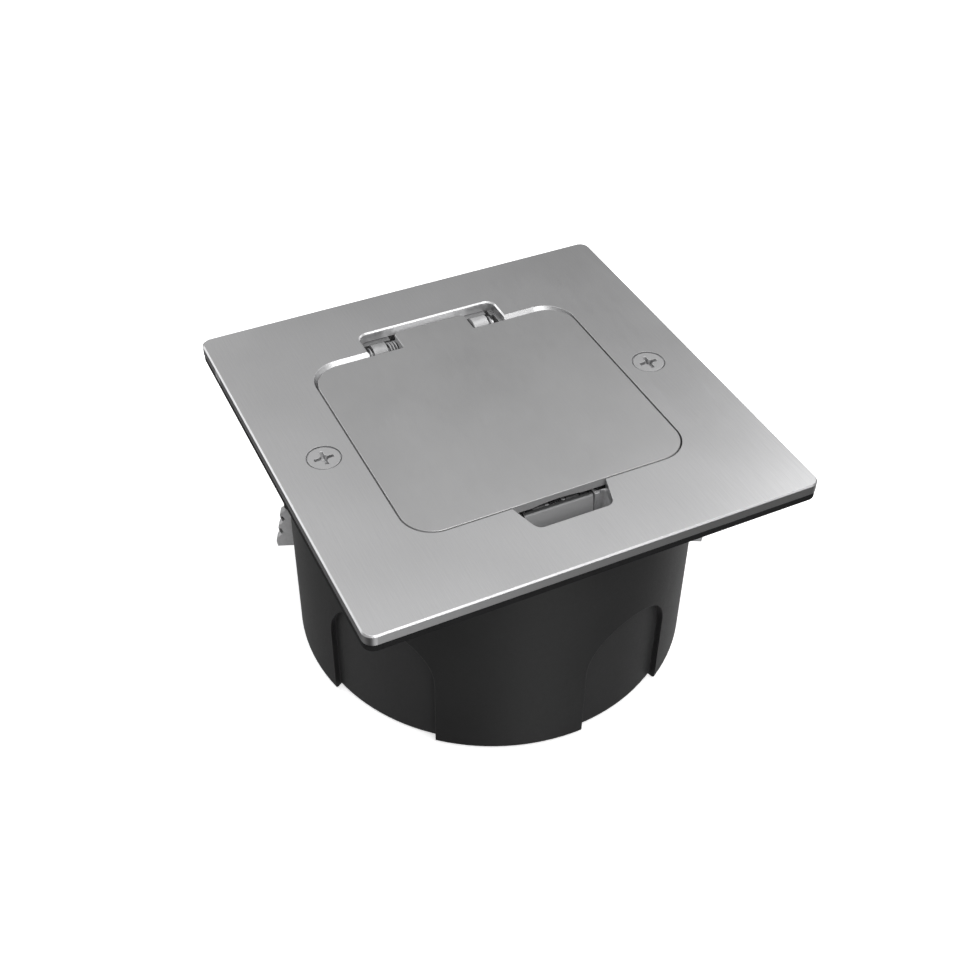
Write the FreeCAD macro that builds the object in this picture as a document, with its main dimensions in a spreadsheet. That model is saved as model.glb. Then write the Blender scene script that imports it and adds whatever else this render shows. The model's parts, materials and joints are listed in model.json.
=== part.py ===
import FreeCAD, Part
import math
import os
import Sketcher

# Floor socket box: a square brushed plate with a hinged lid and a cable notch,
# over a round flush pot that is held in the floor opening by two toothed claws.
# Frame: origin at the centre of the pot's underside, +Z up, +Y towards the hinge.

V = FreeCAD.Vector
doc = FreeCAD.newDocument("floor_socket_box")
sheet = doc.addObject("Spreadsheet::Sheet", "Dims")

SIZES = [
    # cover plate
    ("plate_side", 125.0), ("plate_thick", 3.0), ("plate_round", 3.0), ("plate_bevel", 0.4),
    ("total_height", 74.0), ("gasket_thick", 2.0), ("gasket_inset", 0.1),
    # lid opening and its two notches
    ("open_half", 40.1), ("open_front", 38.0), ("open_back", 35.65), ("open_round", 9.0), ("slope_foot", 72.25),
    ("notch_left", 21.0), ("notch_right", 21.6), ("notch_back", 45.8), ("notch_round", 2.8),
    ("outlet_half_wide", 13.3), ("outlet_half_narrow", 10.6), ("outlet_front", 47.0), ("outlet_round", 2.5),
    # lid
    ("lid_gap", 0.5), ("lid_back", 35.15), ("lid_round", 8.5), ("lid_bevel", 0.08),
    ("tab_half", 11.0), ("tab_back", 42.7), ("tab_round", 1.2), ("nose_half", 9.9), ("nose_back", 45.0),
    ("grip_radius", 45.0), ("grip_rise", 1.1), ("grip_depth", 3.5),
    # hinge
    ("axis_back", 41.0), ("axis_height", 69.4), ("pin_radius", 1.25), ("pin_fit", 0.04), ("knuckle_radius", 3.0),
    ("leaf_left", 8.3), ("leaf_right", 12.7), ("ear_width", 4.6), ("ear_right_in", 13.0), ("ear_left_in", 14.3),
    ("spring_wire", 0.8), ("spring_mean", 2.25), ("spring_turns", 5.0), ("spring_start", 14.05), ("spring_length", 5.3),
    # frame screws
    ("screw_at", 48.6), ("sink_radius", 4.7), ("sink_step", 0.5), ("sink_drop", 0.15), ("head_radius", 4.3), ("shank_radius", 1.98), ("shank_hole", 2.25),
    ("insert_radius", 3.25), ("insert_bore", 2.0), ("insert_long", 10.0), ("boss_radius", 5.2),
    # carrier under the plate
    ("carrier_radius", 53.0), ("carrier_thick", 3.0), ("seat_drop", 1.0), ("seat_half", 35.4), ("seat_front", 33.2),
    ("seat_back", 30.0), ("seat_round", 5.0), ("chute_bottom", 58.0), ("chute_wall", 1.9), ("flap_way_half", 10.4),
    ("pocket_half", 21.0), ("pocket_wall", 1.6), ("pocket_front", 35.0), ("pocket_back", 46.2), ("pocket_floor", 63.9),
    ("stud_x", 46.5), ("stud_y", 11.0), ("stud_radius", 1.5), ("stud_end", 64.6), ("nut_flats", 5.5), ("nut_thick", 2.4),
    # pot
    ("pot_radius", 57.0), ("pot_inner", 55.0), ("pot_floor", 2.0), ("panel_depth", 2.0), ("panel_grow", 1.8),
    ("panel_wide_half", 17.1), ("panel_narrow_half", 14.6), ("panel_spring", 24.1), ("pot_foot_round", 1.2),
    ("wide_angle", -148.5), ("narrow_angle", -74.5),
    ("pillar_at", 30.0), ("pillar_radius", 4.0), ("pillar_top", 37.0),
    # claws
    ("claw_left_angle", 154.5), ("claw_right_angle", -23.1), ("claw_half", 1.25), ("claw_screw_at", 50.5), ("claw_screw_radius", 1.98), ("claw_fit", 0.05),
    ("slot_half", 1.5), ("slot_low", 22.2), ("slot_high", 57.7), ("cheek_reach", 58.9), ("cheek_thick", 1.5),
    ("lug_high", 64.0), ("lug_thick", 4.0), ("lug_low", 12.0), ("lug_low_thick", 3.0), ("lug_half", 5.0), ("lug_in", 45.6),
    # socket insert
    ("ring_half", 34.0), ("ring_thick", 1.5), ("ring_bore", 22.6), ("ring_round", 5.0),
    ("rivet_at", 19.6), ("rivet_radius", 1.5),
    ("base_half", 25.0), ("base_round", 3.0), ("base_bottom", 4.0), ("base_bore", 22.0),
    ("cover_half", 35.0), ("cover_thick", 4.0), ("cover_skin", 1.6), ("cover_round", 4.0),
    ("cup_outer", 21.5), ("cup_radius", 19.7), ("cup_deep", 17.5), ("cup_floor", 1.5),
    ("pole_at", 9.5), ("pole_hole", 2.9), ("pole_bore", 2.42), ("pole_outer", 3.1), ("pole_bottom", 6.0), ("pole_long", 16.5),
    # outlet flap
    ("flap_pin_back", 35.4), ("flap_pin_height", 68.6), ("flap_pin_radius", 0.8), ("flap_knuckle", 1.5),
    ("flap_half", 9.8), ("flap_low", 60.4), ("flap_thick", 1.3),
]
for row, (alias, value) in enumerate(SIZES, start=1):
    sheet.set("A%d" % row, alias)
    sheet.set("B%d" % row, repr(value))
    sheet.setAlias("B%d" % row, alias)
doc.recompute()
VALUE = dict(SIZES)


class Q:
    """A size: its value now, and its formula in the sheet."""

    def __init__(self, v, e):
        self.v = float(v)
        self.e = e

    def __add__(self, o):
        o = q(o)
        return Q(self.v + o.v, "(%s + %s)" % (self.e, o.e))

    def __radd__(self, o):
        return q(o) + self

    def __sub__(self, o):
        o = q(o)
        return Q(self.v - o.v, "(%s - %s)" % (self.e, o.e))

    def __rsub__(self, o):
        return q(o) - self

    def __mul__(self, o):
        o = q(o)
        return Q(self.v * o.v, "(%s * %s)" % (self.e, o.e))

    def __rmul__(self, o):
        return q(o) * self

    def __truediv__(self, o):
        o = q(o)
        return Q(self.v / o.v, "(%s / %s)" % (self.e, o.e))

    def __neg__(self):
        return Q(-self.v, "(0 - %s)" % self.e)


def q(x):
    if isinstance(x, Q):
        return x
    return Q(x, "%.6f" % x if x >= 0 else "(0 - %.6f)" % -x)


def d(alias):
    return Q(VALUE[alias], "Dims." + alias)


def cosd(a):
    return Q(math.cos(math.radians(a.v)), "cos(%s)" % a.e)


def sind(a):
    return Q(math.sin(math.radians(a.v)), "sin(%s)" % a.e)


def put(obj, prop, x):
    obj.setExpression(prop, q(x).e)


def place(o, x, y, z, rot=None):
    if rot is not None:
        o.Placement = FreeCAD.Placement(V(0, 0, 0), rot)
    put(o, "Placement.Base.x", x)
    put(o, "Placement.Base.y", y)
    put(o, "Placement.Base.z", z)
    return o


def box(name, x0, x1, y0, y1, z0, z1):
    o = doc.addObject("Part::Box", name)
    put(o, "Length", q(x1) - x0)
    put(o, "Width", q(y1) - y0)
    put(o, "Height", q(z1) - z0)
    return place(o, x0, y0, z0)


TO_X = FreeCAD.Rotation(V(0, 1, 0), 90)
TO_Y = FreeCAD.Rotation(V(1, 0, 0), -90)


def cyl(name, r, x, y, z0, z1):
    o = doc.addObject("Part::Cylinder", name)
    put(o, "Radius", r)
    put(o, "Height", q(z1) - z0)
    return place(o, x, y, z0)


def cylx(name, r, x0, x1, y, z):
    o = doc.addObject("Part::Cylinder", name)
    put(o, "Radius", r)
    put(o, "Height", q(x1) - x0)
    return place(o, x0, y, z, TO_X)


def cyly(name, r, x, y0, y1, z):
    o = doc.addObject("Part::Cylinder", name)
    put(o, "Radius", r)
    put(o, "Height", q(y1) - y0)
    return place(o, x, y0, z, TO_Y)


def cone(name, r0, r1, x, y, z0, z1):
    o = doc.addObject("Part::Cone", name)
    put(o, "Radius1", r0)
    put(o, "Radius2", r1)
    put(o, "Height", q(z1) - z0)
    return place(o, x, y, z0)


def prism(name, sides, across, x, y, z0, z1):
    o = doc.addObject("Part::Prism", name)
    o.Polygon = sides
    put(o, "Circumradius", q(across) / 2 / q(math.cos(math.pi / sides)))
    put(o, "Height", q(z1) - z0)
    return place(o, x, y, z0)


def fuse(name, *objs):
    o = doc.addObject("Part::MultiFuse", name)
    o.Shapes = list(objs)
    return o


def merge(name, *objs):
    o = fuse(name, *objs)
    o.Refine = True
    return o


def common(name, *objs):
    o = doc.addObject("Part::MultiCommon", name)
    o.Shapes = list(objs)
    return o


def cut(name, base, *tools):
    tool = tools[0] if len(tools) == 1 else fuse(name + "_tools", *tools)
    o = doc.addObject("Part::Cut", name)
    o.Base = base
    o.Tool = tool
    o.Refine = True
    return o


def turn(o, angle):
    """Turn a finished object about the pot's axis."""
    o.Placement = FreeCAD.Placement(V(0, 0, 0), FreeCAD.Rotation(V(0, 0, 1), q(angle).v))
    put(o, "Placement.Rotation.Angle", angle)
    return o


def body(name):
    return doc.addObject("PartDesign::Body", name)


def sketch(b, name, role, offset=0.0):
    plane = [f for f in b.Origin.OriginFeatures if f.Role == role][0]
    s = b.newObject("Sketcher::SketchObject", name)
    s.AttachmentSupport = [(plane, "")]
    s.MapMode = "FlatFace"
    put(s, "AttachmentOffset.Base.z", offset)
    return s


def tie(s, geo, pos, x, y, name):
    """Hold a sketch point at x, y measured from the sketch origin."""
    for axis, value in (("X", q(x)), ("Y", q(y))):
        if abs(value.v) < 1e-9:
            s.addConstraint(Sketcher.Constraint("PointOnObject", geo, pos, -2 if axis == "X" else -1))
            continue
        if value.v > 0:
            i = s.addConstraint(Sketcher.Constraint("Distance" + axis, -1, 1, geo, pos, value.v))
            e = value.e
        else:
            i = s.addConstraint(Sketcher.Constraint("Distance" + axis, geo, pos, -1, 1, -value.v))
            e = (-value).e
        label = "%s_%s" % (name, axis.lower())
        s.renameConstraint(i, label)
        s.setExpression("Constraints." + label, e)


def poly(s, pts, arcs=None, tag="p"):
    """A closed outline through pts. arcs: {i: (radius, side)} makes the run from
    point i an arc; side +1 has its centre to the left of the run, -1 to the right."""
    arcs = arcs or {}
    n = len(pts)
    first = s.GeometryCount
    ends = []
    for i in range(n):
        a, b = pts[i], pts[(i + 1) % n]
        ax, ay, bx, by = q(a[0]).v, q(a[1]).v, q(b[0]).v, q(b[1]).v
        if i in arcs:
            r, side = arcs[i]
            r = q(r)
            dx, dy = bx - ax, by - ay
            half = math.hypot(dx, dy) / 2
            up = math.sqrt(max(r.v * r.v - half * half, 0.0))
            nx, ny = -dy / (2 * half), dx / (2 * half)
            cx, cy = (ax + bx) / 2 + side * up * nx, (ay + by) / 2 + side * up * ny
            a0, a1 = math.atan2(ay - cy, ax - cx), math.atan2(by - cy, bx - cx)
            if side > 0:
                g = s.addGeometry(Part.ArcOfCircle(Part.Circle(V(cx, cy, 0), V(0, 0, 1), r.v), a0, a1), False)
                ends.append((g, 1, 2))
            else:
                g = s.addGeometry(Part.ArcOfCircle(Part.Circle(V(cx, cy, 0), V(0, 0, 1), r.v), a1, a0), False)
                ends.append((g, 2, 1))
        else:
            g = s.addGeometry(Part.LineSegment(V(ax, ay, 0), V(bx, by, 0)), False)
            ends.append((g, 1, 2))
    for i in range(n):
        s.addConstraint(Sketcher.Constraint("Coincident", ends[i][0], ends[i][2], ends[(i + 1) % n][0], ends[(i + 1) % n][1]))
    for i in range(n):
        tie(s, ends[i][0], ends[i][1], pts[i][0], pts[i][1], "%s%d" % (tag, i))
    for i, (r, side) in arcs.items():
        k = s.addConstraint(Sketcher.Constraint("Radius", ends[i][0], q(r).v))
        s.renameConstraint(k, "%s%d_r" % (tag, i))
        s.setExpression("Constraints.%s%d_r" % (tag, i), q(r).e)
    return s


def ring_of(s, x, y, r, tag):
    g = s.addGeometry(Part.Circle(V(q(x).v, q(y).v, 0), V(0, 0, 1), q(r).v), False)
    tie(s, g, 3, x, y, tag)
    k = s.addConstraint(Sketcher.Constraint("Radius", g, q(r).v))
    s.renameConstraint(k, tag + "_r")
    s.setExpression("Constraints.%s_r" % tag, q(r).e)
    return s


def pad(b, s, length, name, both=False, back=False):
    p = b.newObject("PartDesign::Pad", name)
    p.Profile = s
    put(p, "Length", length)
    if both:
        p.SideType = "Symmetric"
    p.Reversed = back
    return p


def pocket(b, s, length, name, both=False, back=False):
    p = b.newObject("PartDesign::Pocket", name)
    p.Profile = s
    put(p, "Length", length)
    if both:
        p.SideType = "Symmetric"
    p.Reversed = back
    return p


def edges_of(base, pick):
    doc.recompute()
    return ["Edge%d" % (i + 1) for i, e in enumerate(base.Shape.Edges) if pick(e)]


def upright_at(points, tol=0.05):
    def pick(e):
        a, b = e.Vertexes[0].Point, e.Vertexes[-1].Point
        if abs(a.x - b.x) > 1e-4 or abs(a.y - b.y) > 1e-4 or abs(a.z - b.z) < 1e-4:
            return False
        return any(abs(a.x - q(x).v) < tol and abs(a.y - q(y).v) < tol for x, y in points)
    return pick


def level_at(z, tol=1e-3):
    def pick(e):
        bb = e.BoundBox
        return abs(bb.ZMin - q(z).v) < tol and abs(bb.ZMax - q(z).v) < tol
    return pick


def fillet(b, base, r, pick, name):
    names = edges_of(base, pick)
    assert names, name + " finds no edge"
    f = b.newObject("PartDesign::Fillet", name)
    f.Base = (base, names)
    put(f, "Radius", r)
    return f


def chamfer(b, base, size, pick, name):
    names = edges_of(base, pick)
    assert names, name + " finds no edge"
    f = b.newObject("PartDesign::Chamfer", name)
    f.Base = (base, names)
    put(f, "Size", size)
    return f


def fillet_part(name, base, r, pick):
    doc.recompute()
    ids = [i + 1 for i, e in enumerate(base.Shape.Edges) if pick(e)]
    assert ids, name + " finds no edge"
    f = doc.addObject("Part::Fillet", name)
    f.Base = base
    f.Edges = [(i, r, r) for i in ids]
    return f


def rect(x, y0, y1):
    return [(-q(x), y0), (q(x), y0), (q(x), y1), (-q(x), y1)]


NODES = []


def node(label, obj, solids=1):
    obj.Label = label
    NODES.append((label, obj, solids))
    return obj


# heights
top_z = d("total_height")
plate_z = top_z - d("plate_thick")
floor_z = plate_z - d("gasket_thick")
carrier_z = plate_z - d("carrier_thick")
seat_z = plate_z - d("seat_drop")
half_plate = d("plate_side") / 2

# ---------------------------------------------------------------- cover plate
b = body("plate_blank")
s = poly(sketch(b, "plate_outline", "XY_Plane", plate_z), rect(half_plate, -half_plate, half_plate))
p = pad(b, s, d("plate_thick"), "plate_pad")
p = fillet(b, p, d("plate_round"), upright_at([(half_plate * a, half_plate * c) for a in (-1, 1) for c in (-1, 1)]), "plate_corners")
out_pts = [
    (-d("open_half"), -d("open_front")), (-d("outlet_half_wide"), -d("open_front")),
    (-d("outlet_half_narrow"), -d("outlet_front")), (d("outlet_half_narrow"), -d("outlet_front")),
    (d("outlet_half_wide"), -d("open_front")), (d("open_half"), -d("open_front")),
    (d("open_half"), d("open_back")), (d("notch_right"), d("open_back")), (d("notch_right"), d("notch_back")),
    (-d("notch_left"), d("notch_back")), (-d("notch_left"), d("open_back")), (-d("open_half"), d("open_back")),
]
s = poly(sketch(b, "opening_outline", "XY_Plane", plate_z), out_pts)
p = pocket(b, s, d("plate_thick"), "opening", back=True)
p = fillet(b, p, d("open_round"), upright_at([out_pts[0], out_pts[5], out_pts[6], out_pts[11]]), "opening_corners")
p = fillet(b, p, d("notch_round"), upright_at([out_pts[8], out_pts[9]]), "notch_corners")
p = fillet(b, p, d("outlet_round"), upright_at([out_pts[2], out_pts[3]]), "outlet_corners")


def rim_edge(e):
    """Top edges round the outside of the plate and round the hinge notch."""
    if not level_at(top_z)(e):
        return False
    bb = e.BoundBox
    outside = max(abs(bb.XMin), abs(bb.XMax), abs(bb.YMin), abs(bb.YMax)) > half_plate.v - d("plate_round").v - 0.01
    return outside or (bb.YMin > d("open_back").v - 0.01 and bb.YMax > d("open_back").v + 0.5)


p = chamfer(b, p, d("plate_bevel"), rim_edge, "top_bevel")
sink_h = d("sink_radius") - d("shank_hole")
plate_holes = []
for k, sx in (("left", -1), ("right", 1)):
    plate_holes.append(cyl("plate_hole_" + k, d("shank_hole"), d("screw_at") * sx, 0, plate_z - 1, top_z + 1))
    plate_holes.append(cone("plate_sink_" + k, d("shank_hole"), d("sink_radius"), d("screw_at") * sx, 0, top_z - d("sink_step") - sink_h, top_z - d("sink_step")))
    plate_holes.append(cyl("plate_sink_top_" + k, d("sink_radius"), d("screw_at") * sx, 0, top_z - d("sink_step"), top_z + 0.5))
# the opening's rear wall leans back above slope_foot, so that the lid's rear edge can turn up past it
slope = doc.addObject("Sketcher::SketchObject", "rear_slope_outline")
put(slope, "Placement.Base.z", d("slope_foot"))
ow, ob, orr = d("open_half"), d("open_back"), d("open_round")
poly(slope, [(-ow, 10.0), (ow, 10.0), (ow, ob - orr), (ow - orr, ob), (-ow + orr, ob), (-ow, ob - orr)], arcs={2: (orr, 1), 4: (orr, 1)})
lean = doc.addObject("Part::Extrusion", "rear_slope")
lean.Base = slope
lean.DirMode = "Custom"
lean.Dir = V(0, 1, 1)
lean.Solid = True
put(lean, "LengthFwd", (top_z - d("slope_foot") + 0.4) * math.sqrt(2.0))
node("cover_frame", cut("cover_frame_cut", b, lean, *plate_holes))

# two countersunk screws, cross recess with arms along X and Y
head_top = top_z - d("sink_drop")
head_r = d("head_radius")
rim_low = top_z - d("sink_step") - (d("sink_radius") - head_r)
cone_low = rim_low - (head_r - d("shank_radius"))
screws = []
for k, sx in (("left", -1), ("right", 1)):
    x = d("screw_at") * sx
    head = cone("frame_screw_cone_" + k, d("shank_radius"), head_r, x, 0, cone_low, rim_low)
    rim = cyl("frame_screw_rim_" + k, head_r, x, 0, rim_low, head_top)
    shank = cyl("frame_screw_shank_" + k, d("shank_radius"), x, 0, 50, cone_low + 0.02)
    tip = cone("frame_screw_tip_" + k, 1.4, d("shank_radius"), x, 0, 49, 50)
    # cross recess whose arm ends slope inwards
    arm_x = box("frame_screw_arm_x_" + k, x - 3.2, x + 3.2, -0.5, 0.5, head_top - 1.9, head_top + 0.5)
    arm_y = box("frame_screw_arm_y_" + k, x - 0.5, x + 0.5, -3.2, 3.2, head_top - 1.9, head_top + 0.5)
    taper = cone("frame_screw_taper_" + k, 1.6, 3.0, x, 0, head_top - 2.0, head_top + 0.5)
    cross = common("frame_screw_cross_" + k, fuse("frame_screw_arms_" + k, arm_x, arm_y), taper)
    core = cone("frame_screw_core_" + k, 0.3, 1.2, x, 0, head_top - 2.6, head_top)
    screws.append(cut("frame_screw_" + k, merge("frame_screw_blank_" + k, head, rim, shank, tip), cross, core))
node("frame_screws", fuse("frame_screw_pair", *screws), 2)

# brass inserts in the pot's two bosses
inserts = []
for k, sx in (("left", -1), ("right", 1)):
    x = d("screw_at") * sx
    inserts.append(cut("insert_" + k, cyl("insert_out_" + k, d("insert_radius"), x, 0, carrier_z - d("insert_long"), carrier_z),
                       cyl("insert_in_" + k, d("insert_bore"), x, 0, carrier_z - d("insert_long") - 1, carrier_z + 1)))
node("frame_inserts", fuse("insert_pair", *inserts), 2)

# square gasket between plate and floor, round the rim of the pot
b = body("gasket_body")
g_half = half_plate - d("gasket_inset")
s = poly(sketch(b, "gasket_outline", "XY_Plane", floor_z), rect(g_half, -g_half, g_half))
ring_of(s, 0, 0, d("pot_radius") + 0.3, "gasket_hole")
p = pad(b, s, d("gasket_thick"), "gasket_pad")
p = fillet(b, p, d("plate_round"), upright_at([(g_half * a, g_half * c) for a in (-1, 1) for c in (-1, 1)]), "gasket_corners")
node("floor_gasket", b)

# studs welded under the plate, and the nuts that hold the carrier
studs, nuts = [], []
for i, (sx, sy) in enumerate(((1, 1), (1, -1), (-1, 1), (-1, -1))):
    x, y = d("stud_x") * sx, d("stud_y") * sy
    studs.append(cyl("stud_%d" % i, d("stud_radius"), x, y, d("stud_end"), plate_z))
    nut = prism("nut_six_%d" % i, 6, d("nut_flats"), x, y, carrier_z - d("nut_thick"), carrier_z)
    nuts.append(cut("nut_%d" % i, nut, cyl("nut_bore_%d" % i, d("stud_radius") + 0.02, x, y, carrier_z - 4, carrier_z + 1)))
node("frame_studs", fuse("stud_set", *studs), 4)
node("stud_nuts", fuse("nut_set", *nuts), 4)

# ---------------------------------------------------------------- carrier
# round cast plate with the lid seat, the cable chute and the hinge pocket
b = body("carrier_disc")
s = ring_of(sketch(b, "disc_outline", "XY_Plane", carrier_z), 0, 0, d("carrier_radius"), "disc")
p = pad(b, s, d("carrier_thick"), "disc_pad")
wo = d("chute_wall")
s = poly(sketch(b, "chute_outline", "XY_Plane", d("chute_bottom")), [
    (-(d("outlet_half_wide") + wo), -d("open_front") + wo), (-(d("outlet_half_narrow") + wo), -d("outlet_front") - wo),
    (d("outlet_half_narrow") + wo, -d("outlet_front") - wo), (d("outlet_half_wide") + wo, -d("open_front") + wo)])
p = pad(b, s, carrier_z + 1 - d("chute_bottom"), "chute_pad")
p = fillet(b, p, d("outlet_round") + wo, upright_at([(d("outlet_half_narrow").v * a + wo.v * a, -(d("outlet_front") + wo)) for a in (-1, 1)]), "chute_outer_corners")
pw = d("pocket_wall")
s = poly(sketch(b, "pocket_outline", "XY_Plane", d("pocket_floor") - pw), rect(d("pocket_half") + pw, d("pocket_front") - pw, d("pocket_back") + pw))
p = pad(b, s, carrier_z + 1 - d("pocket_floor") + pw, "pocket_pad")
# the clear way through, inside the lid seat
s = poly(sketch(b, "well_outline", "XY_Plane", carrier_z), rect(d("seat_half"), -d("seat_front"), d("seat_back")))
p = pocket(b, s, d("carrier_thick"), "well", back=True)
p = fillet(b, p, d("seat_round"), upright_at([(d("seat_half").v * a, y.v) for a in (-1, 1) for y in (-d("seat_front"), d("seat_back"))]), "well_corners")
# cable chute, inner faces in line with the notch in the plate
s = poly(sketch(b, "chute_inner", "XY_Plane", d("chute_bottom")), [
    (-d("outlet_half_wide"), -d("open_front") - 0.2), (-d("outlet_half_narrow"), -d("outlet_front")),
    (d("outlet_half_narrow"), -d("outlet_front")), (d("outlet_half_wide"), -d("open_front") - 0.2)])
p = pocket(b, s, plate_z - d("chute_bottom"), "chute_cut", back=True)
p = fillet(b, p, d("outlet_round"), upright_at([(d("outlet_half_narrow").v * a, -d("outlet_front")) for a in (-1, 1)]), "chute_inner_corners")
p = fillet(b, p, 1.2, upright_at([(d("outlet_half_wide").v * a, -d("open_front") - 0.2) for a in (-1, 1)]), "chute_rear_corners")
way = box("flap_way", -d("flap_way_half"), d("flap_way_half"), -d("open_front") - 1, -d("seat_front") + 1, d("chute_bottom") - 1, plate_z + 1)
hole = box("pocket_space", -d("pocket_half"), d("pocket_half"), d("pocket_front"), d("pocket_back"), d("pocket_floor"), plate_z + 1)
pass_way = box("leaf_pass", -(d("leaf_left") + 0.6), d("leaf_right") + 0.3, d("seat_back") + 3.8, d("pocket_front") + 1, 68.5, plate_z + 1)
holes = [cyl("carrier_hole_l", d("shank_hole"), -d("screw_at"), 0, carrier_z - 1, plate_z + 1),
         cyl("carrier_hole_r", d("shank_hole"), d("screw_at"), 0, carrier_z - 1, plate_z + 1)]
for i, (sx, sy) in enumerate(((1, 1), (1, -1), (-1, 1), (-1, -1))):
    holes.append(cyl("carrier_stud_hole_%d" % i, d("stud_radius") + 0.2, d("stud_x") * sx, d("stud_y") * sy, carrier_z - 1, plate_z + 1))
holes.append(cyl("bond_hole", 1.45, 22.5, -43.5, carrier_z - 1, plate_z - 0.6))
# lid seat: a shallow step all round, a little larger than the opening
sb = body("seat_tool")
seat_x, seat_f, seat_b = d("open_half") + 0.2, -d("open_front") - 0.2, d("open_back") + 0.2
s = poly(sketch(sb, "seat_outline", "XY_Plane", seat_z), rect(seat_x, seat_f, seat_b))
p = pad(sb, s, d("seat_drop") + 1, "seat_pad")
p = fillet(sb, p, d("open_round"), upright_at([(seat_x.v * a, y.v) for a in (-1, 1) for y in (seat_f, seat_b)]), "seat_corners")
shell = cut("carrier_shell", b, way, hole, pass_way, sb, *holes)
ears = []
for k, x0, x1 in (("right", d("ear_right_in"), d("ear_right_in") + d("ear_width")), ("left", -(d("ear_left_in") + d("ear_width") - 0.4), -d("ear_left_in"))):
    ears.append(cylx("ear_round_" + k, d("knuckle_radius"), x0, x1, d("axis_back"), d("axis_height")))
    ears.append(box("ear_web_" + k, x0, x1, d("axis_back") - d("knuckle_radius"), d("axis_back") + d("knuckle_radius"), d("pocket_floor") - 0.5, d("axis_height")))
# ledges behind the knuckles, level with the plate's underside; the right one has a slot
ledge_z = plate_z - 0.1
ears.append(box("ledge_left", -(d("pocket_half") + 0.3), -11.6, 44.1, d("pocket_back") + 0.3, d("pocket_floor") - 0.5, ledge_z))
ears.append(box("ledge_right", 11.6, d("pocket_half") + 0.3, 44.1, d("pocket_back") + 0.3, d("pocket_floor") - 0.5, ledge_z))
ears.append(box("ledge_end", 19.1, d("pocket_half") + 0.3, 42.9, 44.5, d("pocket_floor") - 0.5, ledge_z))
carrier = merge("carrier_with_ears", shell, *ears)
node("lid_carrier", cut("lid_carrier_cut", carrier, box("ledge_slot", 19.1, 20.1, 40.0, 45.7, 66.0, plate_z + 0.5), cylx("ear_bore", d("pin_radius") + 0.01, -20.8, 20.8, d("axis_back"), d("axis_height"))))

# rubber strip on the seat, open where the flap hangs
b = body("seal_body")
s = poly(sketch(b, "seal_outline", "XY_Plane", seat_z), rect(d("open_half") - 0.9, -d("open_front") + 0.9, d("seat_back") + 3.5))
p = pad(b, s, d("seat_drop") - 0.05, "seal_pad")
p = fillet(b, p, d("open_round") - 0.9, upright_at([((d("open_half") - 0.9).v * a, y.v) for a in (-1, 1) for y in (-d("open_front") + 0.9, d("seat_back") + 3.5)]), "seal_outer")
s = poly(sketch(b, "seal_inner_outline", "XY_Plane", seat_z), rect(d("seat_half") + 0.5, -d("seat_front") - 0.5, d("seat_back") + 0.5))
p = pocket(b, s, d("seat_drop"), "seal_way", back=True)
p = fillet(b, p, d("seat_round") + 0.5, upright_at([((d("seat_half") + 0.5).v * a, y.v) for a in (-1, 1) for y in (-d("seat_front") - 0.5, d("seat_back") + 0.5)]), "seal_inner")
node("lid_seal", cut("lid_seal_cut", b, box("seal_gap", -d("flap_way_half") - 0.6, d("flap_way_half") + 0.6, -d("open_front") - 1, -d("seat_front") + 1, seat_z - 1, plate_z)))

# hinge pin with its two clips
pin_x0, pin_x1 = q(-20.2), q(19.9)
pin = cylx("pin_rod", d("pin_radius"), pin_x0, pin_x1, d("axis_back"), d("axis_height"))
groove = []
for k, x in (("left", -19.45), ("right", 18.45)):
    groove.append(cut("pin_groove_" + k, cylx("pin_groove_out_" + k, d("pin_radius") + 0.5, x, x + 0.5, d("axis_back"), d("axis_height")),
                      cylx("pin_groove_in_" + k, d("pin_radius") - 0.3, x - 0.5, x + 1, d("axis_back"), d("axis_height"))))
node("hinge_pin", cut("hinge_pin_cut", pin, *groove))
clips = []
for k, x in (("left", -19.4), ("right", 18.5)):
    ring = cylx("clip_out_" + k, 2.4, x, x + 0.4, d("axis_back"), d("axis_height"))
    bore = cylx("clip_in_" + k, d("pin_radius") - 0.28, x - 1, x + 1, d("axis_back"), d("axis_height"))
    mouth = box("clip_mouth_" + k, x - 1, x + 1, d("axis_back") - 0.7, d("axis_back") + 0.7, d("axis_height") - 4, d("axis_height"))
    clips.append(cut("clip_" + k, ring, bore, mouth))
node("pin_clips", fuse("clip_pair", *clips), 2)

# ---------------------------------------------------------------- lid
b = body("lid_body")
lx, lf = d("open_half") - d("lid_gap"), d("open_front") - d("lid_gap")
lid_pts = [(-lx, -lf), (lx, -lf), (lx, d("lid_back")), (d("tab_half"), d("lid_back")), (d("tab_half"), d("tab_back")),
           (-d("tab_half"), d("tab_back")), (-d("tab_half"), d("lid_back")), (-lx, d("lid_back"))]
s = poly(sketch(b, "lid_outline", "XY_Plane", plate_z), lid_pts)
p = pad(b, s, d("plate_thick"), "lid_pad")
p = fillet(b, p, d("lid_round"), upright_at([lid_pts[0], lid_pts[1], lid_pts[2], lid_pts[7]]), "lid_corners")
p = fillet(b, p, d("tab_round"), upright_at([lid_pts[4], lid_pts[5]]), "tab_corners")
p = fillet(b, p, 0.6, upright_at([lid_pts[3], lid_pts[6]]), "tab_roots")
p = chamfer(b, p, d("lid_bevel"), level_at(top_z), "lid_top_bevel")


def rear_foot(e):
    bb = e.BoundBox
    return abs(bb.ZMax - plate_z.v) < 1e-3 and abs(bb.YMin - d("lid_back").v) < 0.01 and abs(bb.YMax - d("lid_back").v) < 0.01


p = chamfer(b, p, 0.5, rear_foot, "rear_relief")
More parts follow.
